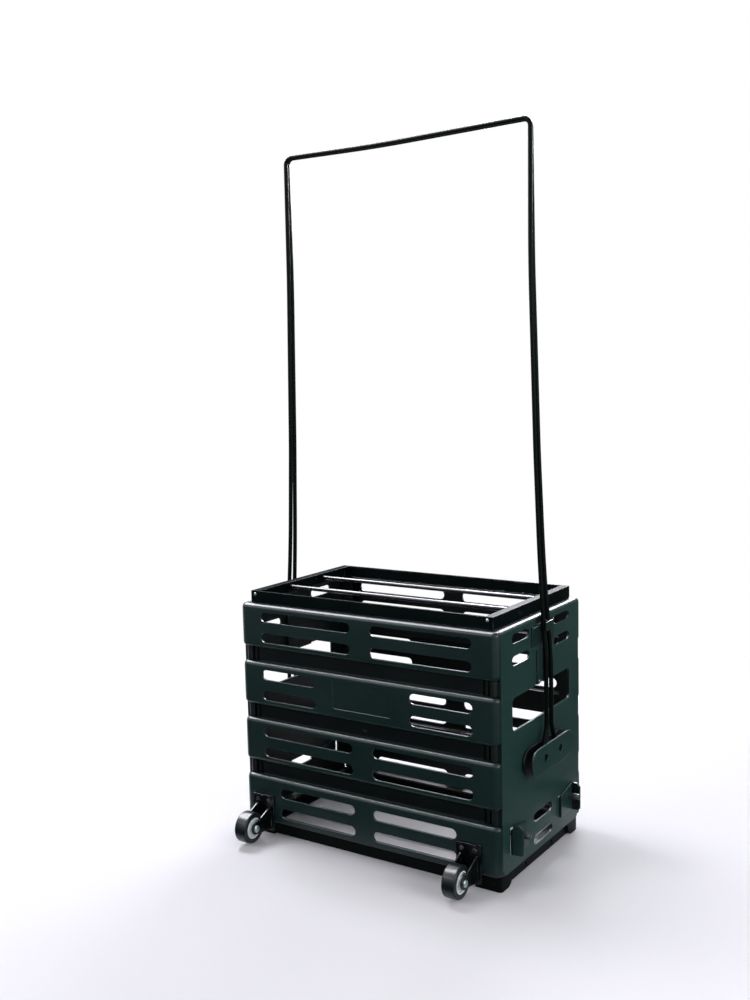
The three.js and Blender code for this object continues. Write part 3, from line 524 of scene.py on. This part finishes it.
def roundedOutline(halfLong, inner, outer, soft, steps=3):
    # a rectangle of (along, out) points whose corners are rounded by soft
    points = []
    for along, out, start in ((halfLong - soft, outer - soft, 0),
                              (-halfLong + soft, outer - soft, 90),
                              (-halfLong + soft, inner + soft, 180),
                              (halfLong - soft, inner + soft, 270)):
        for k in range(steps + 1):
            angle = math.radians(start + 90 * k / steps)
            points.append((along + soft * math.cos(angle), out + soft * math.sin(angle)))
    return points


handle = {
    "radius": 3 * mm, "around": 20, "steps": 8,
    "gripHeight": 966.6 * mm, "gripHalf": 193.4 * mm, "gripSplit": 3.4 * mm,
    "gripBend": 10 * mm, "gripShift": 1 * mm, "gripTilt": 1.9 * mm,
    "gripSag": 3.6 * mm, "gripSagPlace": 40 * mm, "gripSagBend": 3000 * mm,
    "leg": [  # x, y, z and bend radius from the pivot up
        (213.2 * mm, 22.6 * mm, 151 * mm, 0), (213.2 * mm, 7.6 * mm, 187 * mm, 14 * mm),
        (213.2 * mm, 7.6 * mm, 276 * mm, 600 * mm), (204.6 * mm, 5.6 * mm, 395 * mm, 3000 * mm),
        (198.8 * mm, 4.6 * mm, 550 * mm, 3000 * mm), (193.3 * mm, 3.8 * mm, 790 * mm, 3000 * mm),
    ],
    "eyeInner": 3.3 * mm, "eyeOuter": 6.6 * mm, "eyeHalf": 3 * mm, "eyeRound": 0.9 * mm,
    "eyeSteps": 32,
}


def buildHandle(where, sign):
    h = handle

    def at(x, y, z):
        return Vector((x, middleY + sign * y, z))

    def leg(side):
        route = [(at(side * x, y, z), bend) for x, y, z, bend in h["leg"]]
        # the wire starts in the ring of its eye, clear of the pin
        pivot, after = route[0][0], route[1][0]
        ring = (h["eyeInner"] + h["eyeOuter"]) / 2
        route[0] = (pivot + (after - pivot).normalized() * ring, 0)
        # the front grip lies a little to the right, the back grip to the left
        top = at(side * h["gripHalf"] - sign * h["gripShift"], h["gripSplit"],
                 h["gripHeight"] + side * h["gripTilt"])
        return route + [(top, h["gripBend"])]

    sag = (at(-h["gripSagPlace"], h["gripSplit"], h["gripHeight"] - h["gripSag"]),
           h["gripSagBend"])
    bm = bmesh.new()
    points = bendWire(leg(1) + [sag] + list(reversed(leg(-1))), h["steps"])
    sweepBar(bm, points, h["radius"], h["around"])
    eye = roundedOutline(h["eyeHalf"], h["eyeInner"], h["eyeOuter"], h["eyeRound"])
    x, y, z = h["leg"][0][:3]
    for side in (1, -1):
        spinOutline(bm, eye, at(side * x, y, z), Vector((1, 0, 0)), h["eyeSteps"])
    finishFaces(bm)
    addPiece(f"handle_wire_{where}", bm, "wirePaint", f"{where}_handle", [f"handle_{where}"])


for where, sign in longSides.items():
    buildHandle(where, sign)
print("handles made")

roller = {"radius": 3 * mm, "around": 32, "endRound": 0.6 * mm, "fromAngle": 60}


def buildRoller(level, where):
    r = roller
    low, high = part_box(f"{level}_bar_{where}")
    centre = Vector((0, (low.y + high.y) / 2, (low.z + high.z) / 2))
    turn = Matrix.Translation(centre) @ Matrix.Rotation(math.pi / 2, 4, "Y")
    bm = bmesh.new()
    bmesh.ops.create_cone(bm, cap_ends=True, segments=r["around"], radius1=r["radius"],
                          radius2=r["radius"], depth=high.x - low.x, matrix=turn)
    softenEdges(bm, r["endRound"], r["fromAngle"])
    markSharp(bm)
    addPiece(f"roller_{level}_{where}", bm, "barPaint", f"{level}_roller_{where}",
             [f"{level}_bar_{where}"])


for level in ("top", "bottom"):
    for where in longSides:
        buildRoller(level, where)
print("rollers made")

wheel = {
    "out": 163.1 * mm, "height": 25.6 * mm, "x": {"right": 161.2 * mm, "left": -170.8 * mm},
    "tyreRadius": 21.4 * mm, "tyreHalf": 9.5 * mm, "tyreInner": 14.8 * mm,
    "tyreRound": 2.2 * mm, "tyreRoundSteps": 6,
    "hubRadius": 14.5 * mm, "hubHalf": 9 * mm, "rimInner": 12.4 * mm, "dish": 3 * mm,
    "boss": 6.5 * mm, "bore": 3.3 * mm, "soft": 0.4 * mm, "steps": 64,
    "axleRadius": 3 * mm, "axleReach": 13.2 * mm, "headRadius": 5 * mm, "headThick": 2.2 * mm,
    # the head's dome as (back from the end, in from the rim)
    "headDome": [(0.9 * mm, 0), (0.3 * mm, 0.5 * mm), (0, 1.6 * mm)], "axleSteps": 32,
}


def spinWheelPart(side, outline, steps, closed=True):
    centre = Vector((wheel["x"][side], middleY - wheel["out"], wheel["height"]))
    bm = bmesh.new()
    spinOutline(bm, outline, centre, Vector((1, 0, 0)), steps, closed)
    finishFaces(bm)
    return bm


def buildTyre(side):
    w = wheel
    half, inner = w["tyreHalf"], w["tyreInner"]
    outline = roundedOutline(half, inner - w["tyreRound"], w["tyreRadius"], w["tyreRound"],
                             w["tyreRoundSteps"])
    tread = [(along, out) for along, out in outline if out > inner]
    bm = spinWheelPart(side, tread + [(-half, inner), (half, inner)], w["steps"])
    addPiece(f"tyre_{side}_round", bm, "tyreRubber", f"{side}_wheel", [f"tyre_{side}"])


def buildHub(side):
    w = wheel
    half, dish, soft = w["hubHalf"], w["dish"], w["soft"]
    face = [
        (half, w["bore"]), (half, w["boss"] - soft), (half - soft, w["boss"]),
        (half - dish, w["boss"] + soft), (half - dish, w["rimInner"] - soft),
        (half - soft, w["rimInner"]), (half, w["rimInner"] + soft),
        (half, w["hubRadius"] - soft), (half - soft, w["hubRadius"]),
    ]
    outline = face + [(-along, out) for along, out in reversed(face)]
    bm = spinWheelPart(side, outline, w["steps"])
    addPiece(f"wheel_hub_{side}_dished", bm, "hubPlastic", f"{side}_wheel",
             [f"wheel_hub_{side}"])


def buildAxle(side):
    w = wheel
    reach, head = w["axleReach"], w["axleReach"] + w["headThick"]
    dome = [(head - back, w["headRadius"] - inward) for back, inward in w["headDome"]]
    half = [(reach, w["axleRadius"]), (reach, w["headRadius"])] + dome + [(head, 0)]
    outline = [(-along, out) for along, out in reversed(half)] + half
    bm = spinWheelPart(side, outline, w["axleSteps"], closed=False)
    addPiece(f"wheel_axle_{side}_round", bm, "brightZinc", "cart", [f"wheel_axle_{side}"])


for side in sides:
    buildTyre(side)
    buildHub(side)
    buildAxle(side)
print("wheels made")

# small turned pieces: outlines as (share of the length, share of the radius)
turnedPieces = {
    "screw": {"outline": [(0, 0), (0, 1), (0.4, 1), (0.72, 0.86), (0.92, 0.62), (1, 0.4),
                          (0.5, 0.34), (0.42, 0)], "around": 24},
    "bolt": {"outline": [(0, 0), (0, 1), (0.5, 1), (0.76, 0.92), (0.94, 0.74), (1, 0.52),
                         (0.4, 0.46), (0.36, 0)], "around": 28},
    "peg": {"outline": [(0, 0), (0, 1), (0.95, 1), (0.985, 0.93), (1, 0.8), (1, 0)],
            "around": 32},
    "pivotPin": {"outline": [(0, 0), (0, 0.6), (0.925, 0.6), (0.925, 1), (0.98, 1),
                             (1, 0.93), (1, 0)], "around": 32},
    "cornerPin": {"outline": [(0, 0), (0, 1), (1, 1), (1, 0)], "around": 20},
}


def buildTurned(kind, node, axis, finish):
    low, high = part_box(node)
    spread = high - low
    length = abs(spread.dot(axis))
    radius = max(spread[i] for i in range(3) if abs(axis[i]) < 0.5) / 2
    base = (low + high) / 2 - axis * (length / 2)
    look = turnedPieces[kind]
    outline = [(along * length, out * radius) for along, out in look["outline"]]
    bm = bmesh.new()
    spinOutline(bm, outline, base, axis, look["around"], closed=False)
    finishFaces(bm)
    addPiece(f"{node}_round", bm, finish, "cart", [node])


for x, y in corners:
    outX, outY = Vector((sides[x], 0, 0)), Vector((0, longSides[y], 0))
    buildTurned("screw", f"frame_screw_{y}_{x}", outY, "brightZinc")
    buildTurned("screw", f"foot_screw_{y}_{x}", outY, "blackZinc")
    buildTurned("peg", f"catch_peg_{y}_{x}", outX, "darkZinc")
    buildTurned("pivotPin", f"pivot_pin_{y}_{x}", outX, "blackZinc")
    buildTurned("cornerPin", f"corner_pin_{y}_{x}", Vector((0, 0, 1)), "blackZinc")
for x, sign in sides.items():
    buildTurned("screw", f"clip_screw_{x}", Vector((sign, 0, 0)), "brightZinc")
    for where in ("outer", "inner"):
        buildTurned("bolt", f"caster_bolt_{where}_{x}", Vector((0, -1, 0)), "darkZinc")
print("screws and pins made")

# floor, cards, sky and lamps
room = {
    "floorSize": 12, "floorColour": (0.87, 0.872, 0.876, 1), "floorShine": 0.1,
    "floorRough": 0.9, "floorCloud": {"scale": 3, "detail": 3}, "floorCloudRough": 0.05,
    "fadeFrom": 0.62, "fadeTo": 1.25,  # the floor turns white between these distances
    "skyColour": (0.9, 0.91, 0.95, 1), "skyLight": 0.4, "white": (1, 1, 1, 1),
    # dark cards that only reflections see, as (middle, size, tilt, turn)
    "cards": {
        "frontCard": ((-0.45, -0.82, 0.0006), (1.7, 1.3), 0, 0),
        "endCard": ((0.86, 0.35, 0.0006), (1.2, 2), 0, 0),
        "cornerCard": ((0.8, -0.85, 0.0006), (1, 0.8), 0, 0),
        "frontFlag": ((-0.75, -1.3, 0.4), (2, 0.8), 90, -30),
        "endFlag": ((0.95, 1.25, 0.4), (2, 0.8), 90, -35),
        "backFlag": ((-0.85, 1.25, 0.5), (2, 1), 90, 32),
    },
    "cardColour": (0.012, 0.014, 0.014, 1),
    # square lamps as (place, size, watts), all aimed at the middle of the basket
    "lamps": {
        "overLamp": ((-1.1, 0.25, 2.1), 0.8, 24),
        "behindLamp": ((-0.33, 1.78, 1.5), 0.8, 20),
        "frontLamp": ((-1.5, -2.3, 1.3), 1.3, 26),
        "rightLamp": ((2.6, -0.5, 1.1), 1.3, 34),
    },
    # lamps that only reflections see
    "glints": {
        "overGlint": ((-1.1, 0.25, 2.1), 1.7, 270),
        "behindGlint": ((-0.33, 1.78, 1.6), 1.1, 170),
    },
    "lampColour": (0.94, 0.92, 1), "aim": (0, 0, 0.25),
}


def addFlat(name, size, matrix, material):
    # a square of 1 m, scaled to size and placed by the matrix
    bm = bmesh.new()
    bmesh.ops.create_grid(bm, x_segments=1, y_segments=1, size=0.5,
                          matrix=matrix @ Matrix.Diagonal((size[0], size[1], 1, 1)))
    mesh = bpy.data.meshes.new(name)
    bm.to_mesh(mesh)
    bm.free()
    flat = bpy.data.objects.new(name, mesh)
    bpy.context.scene.collection.objects.link(flat)
    mesh.materials.append(material)
    return flat


def buildFloor():
    material, shader, place = startMaterial("floorPale")
    cloud = shader.pattern(place, room["floorCloud"])
    plain = shader.node("ShaderNodeBsdfPrincipled", {}, {
        "Base Color": room["floorColour"], "Specular IOR Level": room["floorShine"],
        "Roughness": room["floorRough"] + (cloud - 0.5) * room["floorCloudRough"]})
    white = shader.node("ShaderNodeEmission", {}, {"Color": room["white"], "Strength": 1})
    away = shader.node("ShaderNodeVectorMath", {"operation": "LENGTH"}, {0: place}, "Value")
    fade = shader.node("ShaderNodeMapRange", {"interpolation_type": "SMOOTHSTEP"}, {
        "Value": away, "From Min": room["fadeFrom"], "From Max": room["fadeTo"]})
    surface = shader.node("ShaderNodeMixShader", {}, {0: fade, 1: plain, 2: white})
    shader.node("ShaderNodeOutputMaterial", {}, {"Surface": surface})
    size = room["floorSize"]
    addFlat("floor", (size, size), Matrix.Identity(4), material)


def buildCards():
    material, shader, _ = startMaterial("cardDark")
    finishMaterial(shader, {"Base Color": room["cardColour"], "Roughness": 1,
                            "Specular IOR Level": 0})
    for name, (middle, size, tilt, turn) in room["cards"].items():
        matrix = (Matrix.Translation(middle) @ Matrix.Rotation(math.radians(turn), 4, "Z")
                  @ Matrix.Rotation(math.radians(tilt), 4, "X"))
        card = addFlat(name, size, matrix, material)
        card.visible_camera = False
        card.visible_diffuse = False
        card.visible_shadow = False
        card.visible_transmission = False


def buildSky():
    world = bpy.data.worlds.new("studio")
    bpy.context.scene.world = world
    world.use_nodes = True
    sky = Shader(world.node_tree)
    soft = sky.node("ShaderNodeBackground", {}, {
        "Color": room["skyColour"], "Strength": room["skyLight"]})
    white = sky.node("ShaderNodeBackground", {}, {"Color": room["white"], "Strength": 1})
    seen = sky.node("ShaderNodeLightPath", {}, {}, "Is Camera Ray")
    glossy = sky.node("ShaderNodeLightPath", {}, {}, "Is Glossy Ray")
    through = sky.node("ShaderNodeLightPath", {}, {}, "Is Transmission Ray")
    either = sky.node("ShaderNodeMath", {"operation": "MAXIMUM"}, {0: seen, 1: glossy})
    either = sky.node("ShaderNodeMath", {"operation": "MAXIMUM"}, {0: either, 1: through})
    both = sky.node("ShaderNodeMixShader", {}, {0: either, 1: soft, 2: white})
    sky.node("ShaderNodeOutputWorld", {}, {"Surface": both})


def addLamp(name, place, size, watts):
    data = bpy.data.lights.new(name, "AREA")
    data.size = size
    data.energy = watts
    data.color = room["lampColour"]
    lamp = bpy.data.objects.new(name, data)
    bpy.context.scene.collection.objects.link(lamp)
    lamp.location = place
    ahead = Vector(room["aim"]) - lamp.location
    lamp.rotation_euler = ahead.to_track_quat("-Z", "Y").to_euler()
    return lamp


buildFloor()
buildCards()
buildSky()
for name, look in room["lamps"].items():
    addLamp(name, *look)
for name, look in room["glints"].items():
    addLamp(name, *look).visible_diffuse = False

# the camera's place, its turns in radians, and its lens
view = {"place": (825.38 * mm, -1322.48 * mm + middleY, 655.69 * mm), "yaw": -0.58691,
        "pitch": -0.113, "roll": -0.0236, "lens": 40.446, "sensor": 36}


def buildCamera():
    yaw, pitch, roll = view["yaw"], view["pitch"], view["roll"]
    ahead = Vector((math.sin(yaw) * math.cos(pitch), math.cos(yaw) * math.cos(pitch),
                    math.sin(pitch)))
    across = Vector((math.cos(yaw), -math.sin(yaw), 0))
    up = across.cross(ahead)
    right = math.cos(roll) * across + math.sin(roll) * up
    top = -math.sin(roll) * across + math.cos(roll) * up
    data = bpy.data.cameras.new("camera")
    data.lens = view["lens"]
    data.sensor_width = view["sensor"]
    camera = bpy.data.objects.new("camera", data)
    bpy.context.scene.collection.objects.link(camera)
    turn = Matrix((right, top, -ahead)).transposed().to_4x4()
    camera.matrix_world = Matrix.Translation(Vector(view["place"])) @ turn
    bpy.context.scene.camera = camera


buildCamera()
bpy.context.scene.view_settings.view_transform = "Standard"
print("room and camera made")
